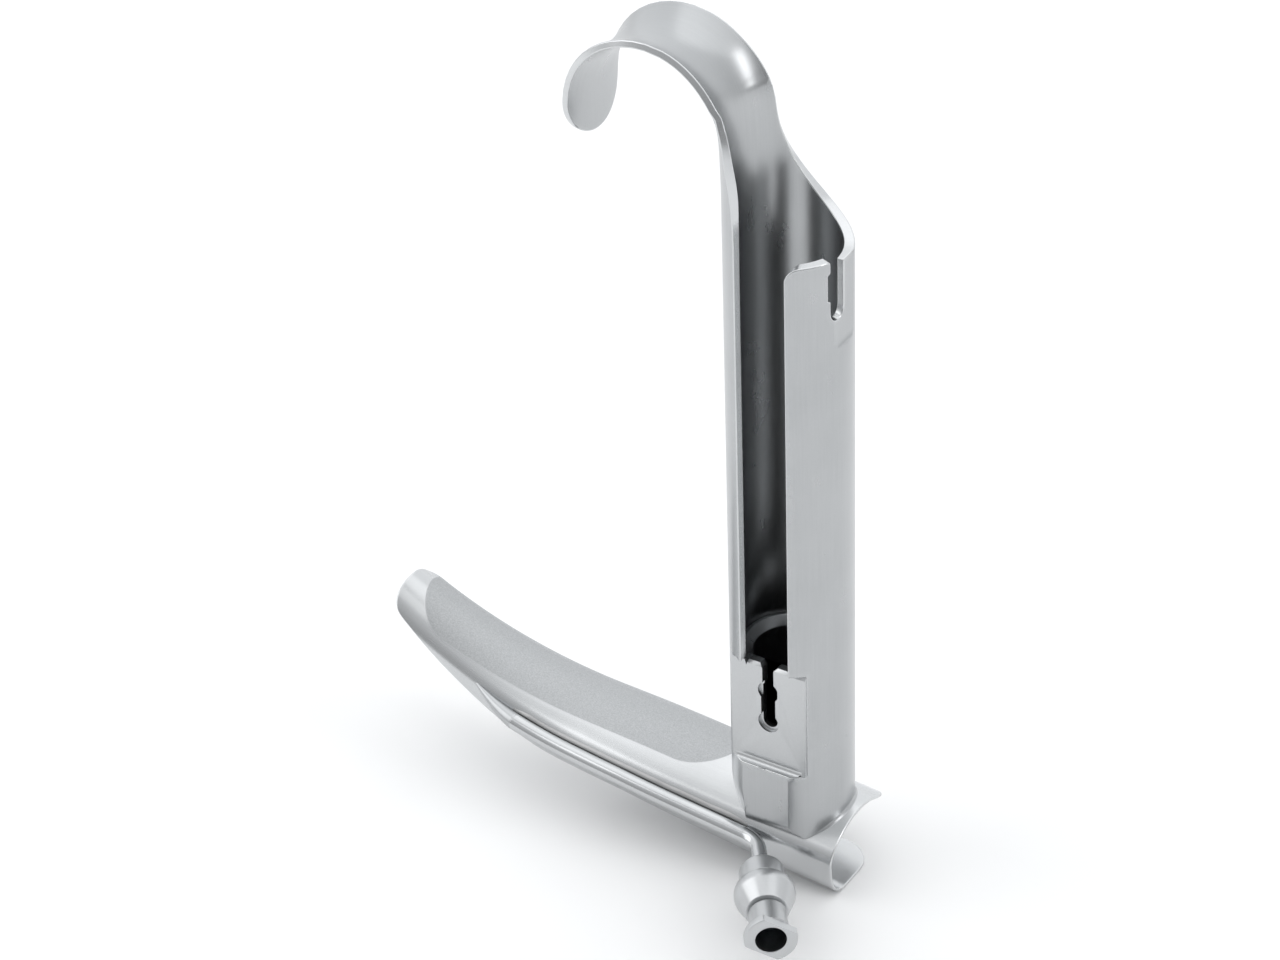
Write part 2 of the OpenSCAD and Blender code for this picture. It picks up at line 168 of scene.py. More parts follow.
def shell(name, surf, outline, wall, rim, grid, margin, inner_shade, wear=1.0, seams=()):
    """Thin-walled piece with a rounded rim, laid out flat and carried into place by surf(u, v, depth).

    outline is the closed edge of the flat layout, wall(u, v) the thickness, rim the rounding of the edge, and grid
    the points inside the face, which keep margin clear of the edge. Normals come from the surface itself. dull(u, v)
    goes to the inner face's dull attribute, a painted shade that darkens that face, and wear to the rim's edge
    attribute. seams are values of u where the wall closes on itself, so it has no rim there."""
    n = len(outline)
    pts = np.array([[p[0], p[1]] for p in outline])
    area = 0.5 * np.sum(pts[:, 0] * np.roll(pts[:, 1], -1) - np.roll(pts[:, 0], -1) * pts[:, 1])
    if area < 0:
        pts = pts[::-1].copy()
    nxt, prv = np.roll(pts, -1, axis=0), np.roll(pts, 1, axis=0)
    e0, e1 = pts - prv, nxt - pts
    n0 = np.stack([-e0[:, 1], e0[:, 0]], 1) / np.linalg.norm(e0, axis=1)[:, None]
    n1 = np.stack([-e1[:, 1], e1[:, 0]], 1) / np.linalg.norm(e1, axis=1)[:, None]
    nn = n0 + n1
    nn /= np.maximum(np.linalg.norm(nn, axis=1)[:, None], 1e-9)
    nn /= np.clip((nn * n1).sum(1), 0.5, 1)[:, None]
    on_seam = np.array([any(abs(p[0] - q) < 1e-3 for q in seams) for p in pts])
    for i in np.nonzero(on_seam)[0]:
        last, after = on_seam[i - 1], on_seam[(i + 1) % n]
        nn[i] = (0, 0) if last and after else (0, (n0 if after else n1)[i][1])
    loop = pts + nn * rim
    keep = [g for g in grid if inside(loop, g) and away(loop, np.array(g)) > margin]
    coords = [Vector(p) for p in loop] + [Vector(g) for g in keep]
    v2, _, f2, ids, _, _ = delaunay_2d_cdt(coords, [], [list(range(n))], 1, 1e-7)
    place = {}
    for k, got in enumerate(ids):
        for g in got:
            place[g] = k

    def normal(u, v, d):
        h = 0.02
        a = Vector(surf(u + h, v, d)) - Vector(surf(u - h, v, d))
        b = Vector(surf(u, v + h, d)) - Vector(surf(u, v - h, d))
        return a.cross(b).normalized()

    verts, norms, uvs, wearing, inner_shade_values = [], [], [], [], []
    m = len(v2)
    sign = None
    for depth_end in (0, 1):
        for p in v2:
            d = wall(p[0], p[1]) * depth_end
            q = surf(p[0], p[1], d)
            nrm = normal(p[0], p[1], d)
            if sign is None:
                inner = Vector(surf(p[0], p[1], 0.2)) - Vector(surf(p[0], p[1], 0))
                sign = -1 if nrm.dot(inner) > 0 else 1
            verts.append(q)
            norms.append(nrm * (sign if depth_end == 0 else -sign))
            uvs.append((p[0] / 10, p[1] / 10))
            wearing.append(0.0)
            inner_shade_values.append(inner_shade(p[0], p[1]) if depth_end else 0.0)
    for k in place:
        if k < n and not on_seam[k]:
            wearing[place[k]] = wearing[m + place[k]] = 0.12 * wear
    outer = [(f if sign > 0 else f[::-1]) for f in f2]
    faces = [list(f) for f in outer] + [[m + i for i in reversed(f)] for f in outer]
    arcs = [30, 60, 90]
    profile = [(rim * (1 - sin(radians(a))), rim * (1 - cos(radians(a))), a) for a in arcs]
    rings = [[place[i] for i in range(n)]]
    for half in (0, 1):
        for e, d, a in (profile if half == 0 else profile[::-1]):
            ring = []
            for i in range(n):
                u, v = pts[i] + nn[i] * e
                full = wall(u, v)
                depth = d if half == 0 else full - d
                q = surf(u, v, depth)
                out = Vector(surf(*(pts[i] - n1[i] * 0.03), depth)) - Vector(surf(*(pts[i] + n1[i] * 0.03), depth))
                out.normalize()
                face = normal(u, v, depth) * (sign if half == 0 else -sign)
                ring.append(len(verts))
                verts.append(q)
                norms.append((face * cos(radians(a)) + out * sin(radians(a))).normalized())
                uvs.append((u / 10, v / 10))
                wearing.append(wear)
                inner_shade_values.append(0.0)
            rings.append(ring)
    rings.append([m + place[i] for i in range(n)])
    for r0, r1 in zip(rings, rings[1:]):
        for i in range(n):
            j = (i + 1) % n
            if on_seam[i] and on_seam[j]:
                continue
            f = [r0[i], r1[i], r1[j], r0[j]]
            faces.append(f if sign > 0 else f[::-1])
    return make_object(name, verts, faces, norms, uvs, wearing, inner_shade_values)


def lathe(name, profile, place, segs, clip=None):
    """Turned piece: profile is (radius, height, is_edge) round local Z, carried by the matrix place."""
    verts, faces, uvs, edge = [], [], [], []
    n = len(profile)
    for k in range(segs):
        a = 2 * pi * k / segs
        for r, z, e in profile:
            p = Vector((r * cos(a), r * sin(a), z))
            if clip:
                p = clip(p)
            verts.append(tuple(place @ p))
            uvs.append((a * 0.4, z / 10))
            edge.append(float(e))
    for k in range(segs):
        j = (k + 1) % segs
        for i in range(n - 1):
            faces.append([k * n + i, j * n + i, j * n + i + 1, k * n + i + 1])
    obj = make_object(name, verts, faces, None, uvs, edge)
    auto_smooth(obj, 40)
    return obj


def auto_smooth(obj, deg):
    """Marks edges sharper than deg as sharp, so flat and round faces each shade cleanly."""
    bm = bmesh.new()
    bm.from_mesh(obj.data)
    bmesh.ops.recalc_face_normals(bm, faces=bm.faces)
    for e in bm.edges:
        if len(e.link_faces) == 2:
            e.smooth = e.calc_face_angle(0) < radians(deg)
    bm.to_mesh(obj.data)
    bm.free()


def rounded(points, k=3):
    """Open lathe profile from (r, z, rounding) corners; returns (r, z, edge) triples. Its two ends stay sharp."""
    out = []
    for i, p in enumerate(points):
        if i in (0, len(points) - 1):
            out.append((p[0], p[1], 0))
            continue
        a, b, c = Vector(points[i - 1][:2]), Vector(p[:2]), Vector(points[i + 1][:2])
        rr = p[2]
        d0, d1 = (a - b), (c - b)
        l0, l1 = d0.length, d1.length
        d0.normalize()
        d1.normalize()
        ang = d0.angle(d1)
        if rr <= 0 or ang > pi - 0.05:
            out.append((b.x, b.y, 0))
            continue
        t = min(rr / tan(ang / 2), 0.45 * l0, 0.45 * l1)
        for j in range(k + 1):
            w = j / k
            q = (b + d0 * t) * (1 - w) ** 2 + b * 2 * w * (1 - w) + (b + d1 * t) * w * w
            out.append((q.x, q.y, 1))
    return out


def sweep(name, route, radius, sides=32):
    """Round bar along a route of points; radius is one number or one for each point."""
    pts = [Vector(p) for p in route]
    verts, uvs, faces = [], [], []
    run = 0.0
    up = Vector((0, 0, 1))
    for i, p in enumerate(pts):
        t = (pts[min(i + 1, len(pts) - 1)] - pts[max(i - 1, 0)]).normalized()
        a = t.cross(up).normalized()
        b = a.cross(t)
        r = radius[i] if isinstance(radius, (list, tuple)) else radius
        if i:
            run += (p - pts[i - 1]).length
        for k in range(sides):
            q = 2 * pi * k / sides
            d = a * cos(q) + b * sin(q)
            verts.append(tuple(p + d * r))
            uvs.append((q * r / 10, run / 10))
    for i in range(len(pts) - 1):
        for k in range(sides):
            j = (k + 1) % sides
            faces.append([i * sides + k, i * sides + j, (i + 1) * sides + j, (i + 1) * sides + k])
    faces.append(list(range(sides))[::-1])
    faces.append([(len(pts) - 1) * sides + k for k in range(sides)])
    obj = make_object(name, verts, faces, None, uvs)
    auto_smooth(obj, 50)
    return obj


def modified(obj):
    """Applies every modifier of obj to its mesh."""
    deps = bpy.context.evaluated_depsgraph_get()
    mesh = bpy.data.meshes.new_from_object(obj.evaluated_get(deps))
    obj.modifiers.clear()
    obj.data = mesh


# ---------------------------------------------------------------- dimensions, in mm, as in the CAD part
R, WALL = 8.6, 1.5
PANEL, WIN = 66.1, 3.7
HOOK_Z = PANEL + 14.7
HOOK_HALF = 6.3
HOOK = [(9.4 * pi / 2, 9.4), (10.2 * pi / 2, 10.2), (5.7, 0)]
HOOK_LEN = sum(h[0] for h in HOOK)
STRIP_HALF, STRIP_TIP = 6.75, 6.35      # half width of the hook's strip along its surface, at root and end
RIM_FROM, RIM_SPAN = 66.5, 27.5         # where the near rim starts to narrow, and over what height
FREE_X, SWEEP_AT, SWEEP_R = 5.5, (11.5, HOOK_Z + 0.8), 17.0
SLOT_HALF = 3.05
FOOT_LOW, FOOT_SIDE = -27.7, -7.2       # lowest point of the foot's edge, and where it leaves the deck's curve
U_LOW, U_HIGH = -13.6, 41               # limits of the wall laid flat
FLOOR_Z, PLATE_H, PLATE_HALF, PLATE_FACE = 1.1, 16.7, 5.8, 6.7
PLATE_BOTTOM = FLOOR_Z - PLATE_H
FOOT_FACE = 7.8

HEEL_X, HEEL_Z = 10.0, -24.85
STRAIGHT, CURVE_R, CURVE_DEG, RISE = 42.0, 76.0, 26.0, radians(5)
LEAN = tan(radians(8))
CREST_Y, DECK_R, SHOULDER_R, CORNER_R, NEAR_DECK = 1.0, 13.0, 3.2, 3.8, 7.6
SPINE = [(STRAIGHT, 0), (CURVE_R * radians(CURVE_DEG), CURVE_R)]
SPINE_LEN = sum(s[0] for s in SPINE)
NEAR = [(NEAR_DECK, DECK_R), (SHOULDER_R * (pi / 2 - NEAR_DECK / DECK_R), SHOULDER_R), (1.8, 0),
        (CORNER_R * pi / 2, CORNER_R), (8.2, 0)]
FAR = [(5.3, 11), (1.5, -2.6)]
NEAR_FULL, FAR_FULL = sum(s[0] for s in NEAR), sum(s[0] for s in FAR)
WALL_LEN = NEAR[0][0] + NEAR[1][0] + NEAR[2][0]
TAPER_FROM, TIP_ROUND = 24.0, 3.4


def narrow(s):
    return 1 if s < TAPER_FROM else 1 - 0.36 * smooth((s - TAPER_FROM) / (SPINE_LEN - TAPER_FROM) * 0.85)


def shallow(s):
    return 1 - 0.12 * clamp01((s - 8) / 26)


def near_reach(s):
    floor_end, wall_end = STRAIGHT - 9, STRAIGHT + 7
    if s < floor_end:
        return NEAR_FULL
    if s < wall_end:
        t = (s - floor_end) / (wall_end - floor_end)
        return mix(NEAR_FULL, WALL_LEN + 2, mix(t, smooth(t), 0.6))
    return mix(WALL_LEN + 2, NEAR_DECK + 0.4, (s - wall_end) / (SPINE_LEN - wall_end))


def tip_share(s):
    d = max(0, s - (SPINE_LEN - TIP_ROUND)) / TIP_ROUND
    return max(0.0, 1 - min(1, d) ** 2.6) ** (1 / 2.6)


def sheet_pt(s, l, d):
    """Point of the blade's sheet: s along, l across (positive towards the wall), d outwards."""
    a = walk(NEAR, l) if l >= 0 else walk(FAR, -l)
    side = -1 if l >= 0 else 1
    y = CREST_Y + side * a[0] * narrow(s) + side * d * sin(a[2])
    up = -a[1] * shallow(s) + d * cos(a[2])
    p = walk(SPINE, s)
    h = RISE + p[2]
    lean = LEAN * (1 - clamp01(s / 12))
    return (HEEL_X - (p[0] * cos(RISE) - p[1] * sin(RISE)) + up * sin(h) - up * lean, y,
            HEEL_Z + p[0] * sin(RISE) + p[1] * cos(RISE) + up * cos(h))


def deck_z(x, y):
    """Height of the deck's upper face near the foot."""
    off = y - CREST_Y
    if off < 0:
        lo, hi = 0.0, NEAR[0][0] + NEAR[1][0]
        segs, off = NEAR, -off
    else:
        lo, hi = 0.0, FAR_FULL
        segs = FAR
    off = min(off, walk(segs, hi)[0] - 1e-3)
    for _ in range(30):
        m = (lo + hi) / 2
        if walk(segs, m)[0] < off:
            lo = m
        else:
            hi = m
    drop = walk(segs, lo)[1]
    s = HEEL_X - x
    return HEEL_Z + s * tan(RISE) - drop * shallow(s) / cos(RISE)


def seat_z(x, y):
    """Height at which the foot meets the deck; past the deck's shoulder it stays level."""
    return deck_z(x, max(y, FOOT_SIDE))


# ---------------------------------------------------------------- materials
def nodes_of(mat):
    mat.use_nodes = True
    nt = mat.node_tree
    nt.nodes.clear()
    return nt


class Graph:
    """Small helper that adds nodes and links."""

    def __init__(self, mat):
        self.nt = nodes_of(mat)

    def add(self, kind, values=None, **props):
        n = self.nt.nodes.new(kind)
        for k, v in props.items():
            setattr(n, k, v)
        for k, v in (values or {}).items():
            if isinstance(v, bpy.types.NodeSocket):
                self.nt.links.new(v, n.inputs[k])
            else:
                n.inputs[k].default_value = v
        return n

    def math(self, op, a, b=0.0):
        return self.add("ShaderNodeMath", {0: a, 1: b}, operation=op).outputs[0]

    def span(self, value, a, b, c, d):
        n = self.add("ShaderNodeMapRange", {"Value": value, "From Min": a, "From Max": b, "To Min": c, "To Max": d})
        return n.outputs[0]

    def noise(self, vec, scale, detail, rough):
        n = self.add("ShaderNodeTexNoise", {"Vector": vec, "Scale": scale, "Detail": detail, "Roughness": rough})
        return n.outputs[0]

    def scaled(self, vec, scale):
        return self.add("ShaderNodeMapping", {"Vector": vec, "Scale": scale}).outputs[0]


def steel(name, tone=0.47, rough=0.26, grain=(60, 1.2), grain_depth=0.1, space="uv", patch=False, warm=0.0,
          cloud=0.015, edge_gain=0.16):
    """Stainless steel: directional finishing lines, cloudy satin variation, hairline scratches, lightened edges
    (polished wear on most rims, a painted highlight on the near-black steel's rims and the plate's cove) and painted
    shade on inner faces.
    """
    mat = bpy.data.materials.new(name)
    g = Graph(mat)
    coord = g.add("ShaderNodeTexCoord")
    obj = coord.outputs["Object"]
    uv = coord.outputs["UV"] if space == "uv" else g.scaled(obj, (100, 100, 100))
    across, along = grain
    if space == "uv":
        lines_at = g.scaled(uv, (across, along, 1))
        hair_at = g.scaled(uv, (across * 0.35, along * 0.6, 1))
    else:
        lines_at = g.scaled(uv, (across, across, along))
        hair_at = g.scaled(uv, (across * 0.35, across * 0.35, along * 0.6))
    lines = g.noise(lines_at, 1.0, 4.0, 0.6)
    hair = g.span(g.noise(hair_at, 1.0, 2.0, 0.5), 0.62, 0.72, 0.0, 1.0)
    clouds = g.noise(obj, 90.0, 3.0, 0.5)
    smudge = g.noise(g.scaled(obj, (1, 1, 0.45)), 260.0, 4.0, 0.55)
    grit = g.noise(obj, 4200.0, 2.0, 0.6)
    edge = g.add("ShaderNodeAttribute", attribute_name="edge").outputs["Fac"]
    inner_shade = g.add("ShaderNodeAttribute", attribute_name="inner_shade").outputs["Fac"]
    value = g.math("ADD", g.span(clouds, 0.3, 0.7, tone - cloud, tone + cloud), g.math("MULTIPLY", edge, edge_gain))
    value = g.math("SUBTRACT", value, g.math("MULTIPLY", g.span(smudge, 0.4, 0.8, 0, 1), 0.008))
    value = g.math("ADD", value, g.span(lines, 0.3, 0.7, -0.010, 0.010))
    value = g.math("ADD", value, g.span(grit, 0.3, 0.7, -0.005, 0.005))
    # painted shade: an inner face darkens by up to 8 % where its dull attribute is 1
    value = g.math("MULTIPLY", value, g.span(inner_shade, 0, 1, 1.0, 0.92))
    rgh = g.math("ADD", g.span(smudge, 0.3, 0.7, rough - 0.008, rough + 0.01), g.math("MULTIPLY", hair, 0.012))
    rgh = g.math("SUBTRACT", rgh, g.math("MULTIPLY", edge, 0.06))
    height = g.math("ADD", g.math("MULTIPLY", lines, 0.6), g.math("MULTIPLY", hair, -0.08))
    height = g.math("ADD", height, g.math("MULTIPLY", grit, 0.25))
    if patch:
        mask, speck, lip = blasted(g, coord)
        value = mixed(g, value, g.span(speck, 0.3, 0.7, tone - 0.20, tone - 0.06), mask)
        rgh = mixed(g, rgh, 0.55, mask)
        height = g.math("ADD", mixed(g, height, g.math("MULTIPLY", speck, 2.6), mask), g.math("MULTIPLY", lip, 2.0))
    rgb = g.add("ShaderNodeCombineColor", {0: g.math("ADD", value, warm), 1: g.math("ADD", value, 0.010),
                                           2: g.math("ADD", value, 0.018 - warm)})
    bump = g.add("ShaderNodeBump", {"Strength": grain_depth, "Distance": 0.00004, "Height": height})
    bsdf = g.add("ShaderNodeBsdfPrincipled", {"Metallic": 1.0})
    g.nt.links.new(rgb.outputs[0], bsdf.inputs["Base Color"])
    g.nt.links.new(rgh, bsdf.inputs["Roughness"])
    g.nt.links.new(bump.outputs[0], bsdf.inputs["Normal"])
    out = g.add("ShaderNodeOutputMaterial")
    g.nt.links.new(bsdf.outputs[0], out.inputs[0])
    return mat


def mixed(g, a, b, t):
    return g.add("ShaderNodeMix", {0: t, 2: a, 3: b}, data_type="FLOAT").outputs[0]


def blasted(g, coord):
    """Mask of the matt panel on the deck: a long stadium seen from its near half, with a fine speckle inside."""
    split = g.add("ShaderNodeSeparateXYZ", {0: coord.outputs["UV"]})
    place = g.add("ShaderNodeSeparateXYZ", {0: coord.outputs["Object"]})
    s = g.math("MULTIPLY", split.outputs[0], 10)
    y = g.math("MULTIPLY", place.outputs[1], 1000)
    ca, cb, yc, rad = PATCH
    ahead = g.math("MAXIMUM", g.math("SUBTRACT", s, cb), 0)
    behind = g.math("MAXIMUM", g.math("SUBTRACT", ca, s), 0)
    ds = g.math("ADD", ahead, behind)
    dy = g.math("SUBTRACT", yc, y)
    dist = g.math("SQRT", g.math("ADD", g.math("MULTIPLY", ds, ds), g.math("MULTIPLY", dy, dy)))
    dist = g.math("SUBTRACT", dist, rad)
    # only on the outer face of the deck: not on the sheet's inner face, nor on the wall and flange
    inner = g.add("ShaderNodeAttribute", attribute_name="inner_shade").outputs["Fac"]
    on_deck = g.math("LESS_THAN", g.math("ADD", split.outputs[1], g.math("MULTIPLY", inner, 10)), 1.1)
    mask = g.math("MULTIPLY", g.span(dist, 0.06, -0.06, 0, 1), on_deck)
    lip = g.math("MULTIPLY", g.span(g.math("ABSOLUTE", dist), 0.0, 0.16, 1, 0), on_deck)
    speck = g.noise(coord.outputs["Object"], 5200.0, 2.0, 0.7)
    return mask, speck, lip


# matt panel: start and end of its spine along the sheet, its spine's y, and its radius
PATCH = (27.6, 66.5, 3.6, 7.4)

satin = steel("satin_steel", 0.46, 0.28, (40, 0.8), 0.05)
satin_blade = steel("satin_steel_blade", 0.60, 0.26, (1.2, 40), 0.05, patch=True)
bright = steel("polished_steel", 0.56, 0.2, (45, 3), 0.06)
turned = steel("turned_steel", 0.38, 0.38, (1.0, 110), 0.06)
plate_steel = steel("plate_steel", 0.54, 0.3, (42, 42), 0.08, space="object")
# painted shade: near-black steel for the socket sleeve deep in the foot and for the hub's bore, which look dark only
# from shade; its large edge gain paints a highlight on their rounded rims
shade_black = steel("dark_steel", 0.12, 0.34, (40, 2), 0.1, space="object", edge_gain=0.35)
solder = steel("solder", 0.42, 0.34, (12, 12), 0.5, warm=0.01)


def finish_piece(obj, mat, slot, *nodes):
    obj.data.materials.clear()
    obj.data.materials.append(mat)
    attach(obj, "root")
    if nodes:
        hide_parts(*nodes)


# ---------------------------------------------------------------- handle and hook, one bent wall
def section_curvature(q):
    """Curvature of the wall's section: the tube's, easing to a nearly flat tongue."""
    base, root, tip = 1 / R, 1 / 10.2, 1 / 26.0
    if q < 3:
        return mix(base, root, smooth((q + 9) / 12))
    return mix(root, tip, sqrt(clamp01((q - 3) / (HOOK_LEN - 3))))


EDGE_A = acos(WIN / R)


def hook_path(step, ease):
    """Crest line of the hook from ease before its root; each change of curvature is spread over 2 * ease."""
    changes, at, last = [], 0.0, 0.0
    for length, radius in HOOK:
        now = 1 / radius if radius else 0.0
        changes.append((at, now - last))
        at, last = at + length, now
    x, y, heading, q = -ease, 0.0, 0.0, -ease
    out = [(x, y, heading)]
    while q < HOOK_LEN + 1:
        turn = sum(k * smooth((q + step / 2 - c + ease) / (2 * ease)) for c, k in changes) * step
        x += step * cos(heading + turn / 2)
        y += step * sin(heading + turn / 2)
        heading += turn
        q += step
        out.append((x, y, heading))
    return out


PATH_STEP, PATH_EASE = 0.05, 3.0
PATH = hook_path(PATH_STEP, PATH_EASE)


def along_hook(q):
    """Height, reach and heading of the wall's crest at q past the hook's root."""
    f = (q + PATH_EASE) / PATH_STEP
    if f <= 0:
        return (q, 0.0, 0.0)
    i = min(int(f), len(PATH) - 2)
    return tuple(mix(a, b, f - i) for a, b in zip(PATH[i], PATH[i + 1]))


def foot_face(s):
    """Distance of the foot's flat from the axis; it curves in to meet the blade's shoulder."""
    return FOOT_FACE - 1.5 * clamp01((-24.4 - s) / 2.6) ** 2


def handle_surf(u, s, d):
    q = s - HOOK_Z
    p = along_hook(q)
    rho = 1 / section_curvature(q)
    a = u / rho
    if q < 0:
        # the window's cut faces lie in planes of constant x, not along the radius
        turn = (EDGE_A - acos(WIN / (R - d))) * smooth(-q / 14) * smooth((s - PLATE_BOTTOM) / 3)
        a += turn * clamp01(1 - (u + R * EDGE_A) / 6) - turn * clamp01(1 - (R * (pi + EDGE_A) - u) / 6)
    y = (rho - d) * sin(a)
    rise = rho - (rho - d) * cos(a)
    x = -R - p[1] + rise * cos(p[2])
    z = HOOK_Z + p[0] + rise * sin(p[2])
    if s < -20 and -10.6 < u < -1:
        # the foot narrows at its front corner on the blade's side
        pinch = 1.0 * smooth((-20.5 - s) / 6.5) * smooth((-u - 1) / 4) * smooth((u + 10.6) / 2)
        x += pinch * cos(a)
        y -= pinch * sin(a)
    if d < 0.6:
        if s < PLATE_BOTTOM + 2:
            y = max(y, -foot_face(s) + d)
        if 49 < s < PANEL + 2:
            low = clamp01((PANEL - 12.8 - s) / 1.1)
            x = min(x, R - 0.4 + 0.42 * low * low - d)
    return (x, y, z)


def handle_wall(u, s):
    return mix(WALL, 1.0, smooth((s - HOOK_Z + 8) / 12)) + 1.3 * smooth(PLATE_BOTTOM + 1.2 - s)


def rim_angle(z):
    """Developed place of the near rim: straight beside the window, then narrowing into the hook."""
    return -mix(acos(WIN / R) * R, STRIP_HALF, smooth((z - RIM_FROM) / RIM_SPAN))


def strip_half(q, near):
    """Half width of the hook's strip, along its surface, at q past its root."""
    body = mix(STRIP_HALF, STRIP_TIP, q / HOOK_LEN)
    if near:
        return -rim_angle(HOOK_Z + q) * body / STRIP_HALF
    return mix(R * acos(FREE_X / R), body, smooth(q / 9))


def free_edge(x):
    """Height of the far wall's free edge, an arc that sweeps down towards the slot."""
    return SWEEP_AT[1] - sqrt(SWEEP_R ** 2 - (x - SWEEP_AT[0]) ** 2)


SEAM = R * pi * 1.5


def handle_outline():
    rear = pi * R
    pts = []
    add = lambda u, s, r=0.0: pts.append((u, s, r))
    # up the near rim and out along the hook
    seat = R * acos(PLATE_HALF / R)
    foot_top = PLATE_BOTTOM - 0.25
    add(SEAM - 2 * pi * R, foot_top, 0)
    add(-seat, foot_top, 0.3)
    add(-seat, FLOOR_Z + 0.05, 0.2)
    add(rim_angle(0), FLOOR_Z + 0.05, 0.25)
    for z in [20, 40, 60, 67, 70, 73, 76, 79]:
        add(rim_angle(z), z)
    end = HOOK_LEN - HOOK_HALF
    for q in [*range(13), *np.linspace(14, end, 12)]:
        add(-strip_half(q, True), HOOK_Z + q)
    w = strip_half(end, True)
    for k in range(1, 32):
        a = pi * k / 32
        add(-w * cos(a), HOOK_Z + end + HOOK_HALF * sin(a))
    for q in [*np.linspace(end, 14, 12), *range(12, 0, -1)]:
        add(strip_half(q, False), HOOK_Z + q)
    # down the far wall's free edge to the slot, in steps that grow towards the rear
    steps = 46
    for k in range(steps + 1):
        x = min(-FREE_X + (R + FREE_X) * (1 - cos(k / steps * pi / 2)) ** 1.15, 8.59)
        add(acos(-x / R) * R, free_edge(x))
    slot_l, slot_r = rear - 0.05, rear + R * asin(SLOT_HALF / R)
    add(slot_l, free_edge(R), 0.35)
    base = PANEL - 9.5
    rs = (slot_r - slot_l) / 2
    add(slot_l, base + rs)
    for k in range(1, 12):
        a = pi * k / 12
        add(slot_l + rs - rs * cos(a), base + rs - rs * sin(a))
    add(slot_r, base + rs)
    add(slot_r, base + 3.4, 0.15)
    add(slot_r + 0.42, base + 3.6, 0.15)
    add(slot_r + 0.42, base + 7.4, 0.15)
    add(slot_r, base + 7.7, 0.15)
    add(slot_r, PANEL, 0.45)
    # level top of the panel, its rounded corner, and down beside the window
    right = R * (pi + EDGE_A)
    add(right - 2.3, PANEL)
    for k in range(1, 9):
        a = pi / 2 * k / 9
        add(right - 2.3 + 2.3 * sin(a), PANEL - 2 + 2 * cos(a))
    add(right, PANEL - 2)
    add(right, FLOOR_Z + 0.05, 0.25)
    seat_r = R * pi + seat
    add(seat_r, FLOOR_Z + 0.05, 0.2)
    add(seat_r, foot_top, 0.3)
    add(SEAM, foot_top, 0)
    # the foot's lower edge follows the deck
    n = 60
    for k in range(n + 1):
        u = mix(SEAM, SEAM - 2 * pi * R, k / n)
        psi = u / R
        add(u, max(seat_z(-R * cos(psi), R * sin(psi)) - 0.35, FOOT_LOW))
    return pts


def handle_grid():
    g = []
    for s in np.concatenate([np.arange(-26.6, -14, 0.7), np.arange(-13, 48, 2.2), np.arange(48.2, 58, 0.4),
                             np.arange(58.3, 84, 0.8), np.arange(84.5, HOOK_Z + HOOK_LEN, 0.8)]):
        for u in np.arange(U_LOW, U_HIGH, 0.72):
            g.append((float(u), float(s)))
        if 49 < s < 58:
            g += [(float(u), float(s)) for u in np.arange(pi * R - 3.4, pi * R + 3.4, 0.24)]
    # creases of the foot's flat and of the milled rear face
    for s in np.arange(-27.6, PLATE_BOTTOM - 1, 0.3):
        for side in (-1, 1):
            for off in (-0.06, 0.06):
                u = (pi * 1.5 + side * acos(foot_face(s) / R)) * R + off
                g.append((u if u < SEAM else u - 2 * pi * R, float(s)))
    g += [(float(u), float(s)) for s in np.arange(-27.6, -23.8, 0.26) for u in np.arange(U_LOW, U_HIGH, 0.36)]
    for s in np.arange(54.0, PANEL, 0.5):
        for side in (-1, 1):
            for off in (-0.06, 0.06):
                g.append(((pi + side * acos((R - 0.4) / R)) * R + off, float(s)))
    return thin(g, 0.1)


def thin(points, least):
    """Drops points that fall in the same small cell."""
    seen, out = set(), []
    for p in points:
        key = (round(p[0] / least), round(p[1] / least))
        if key not in seen:
            seen.add(key)
            out.append(p)
    return out


# painted shade: the inner face is fully darkened below s = 62 and fades to none by s = 96, deeper in the tube
handle = shell("handle_shell", handle_surf, fillet(handle_outline(), 1.1), handle_wall, 0.2, handle_grid(), 0.12,
               lambda u, s: mix(1.0, 0.0, smooth((s - 62) / 34)), seams=(SEAM, SEAM - 2 * pi * R))
finish_piece(handle, satin, "satin_steel", "handle_tube", "finger_hook")


# ---------------------------------------------------------------- blade
def blade_surf(u, v, d):
    return sheet_pt(u, v, -d)


def blade_outline():
    pts = [(0.0, -FAR_FULL, 0.5)]
    body = SPINE_LEN - TIP_ROUND
    stations = list(np.linspace(1.5, body, 46)) + [body + TIP_ROUND * sin(radians(a)) for a in range(6, 90, 6)]
    for s in stations:
        pts.append((s, -FAR_FULL * tip_share(s), 0))
    pts.append((SPINE_LEN, 0.4, 0))
    for s in stations[::-1]:
        if s > 8:
            pts.append((s, near_reach(s) * tip_share(s), 0))
    pts.append((0.0, NEAR_FULL, 3.8))
    return pts


def blade_grid():
    g = []
    for s in np.concatenate([np.arange(0.7, 20, 0.9), np.arange(20.4, SPINE_LEN, 0.8)]):
        for l in np.arange(-FAR_FULL, NEAR_FULL, 0.62):
            g.append((float(s), float(l)))
    return g


def blade_wall(u, v):
    """The sheet is ground thinner towards the heel's edge."""
    return mix(0.42, 0.68, smooth(u / 3))


# painted shade: the sheet's whole inner face is darkened
blade = shell("blade_sheet", blade_surf, fillet(blade_outline(), 0.8), blade_wall, 0.19, blade_grid(), 0.25,
              lambda u, v: 1.0, wear=0.35)
finish_piece(blade, satin_blade, "satin_steel", "blade")


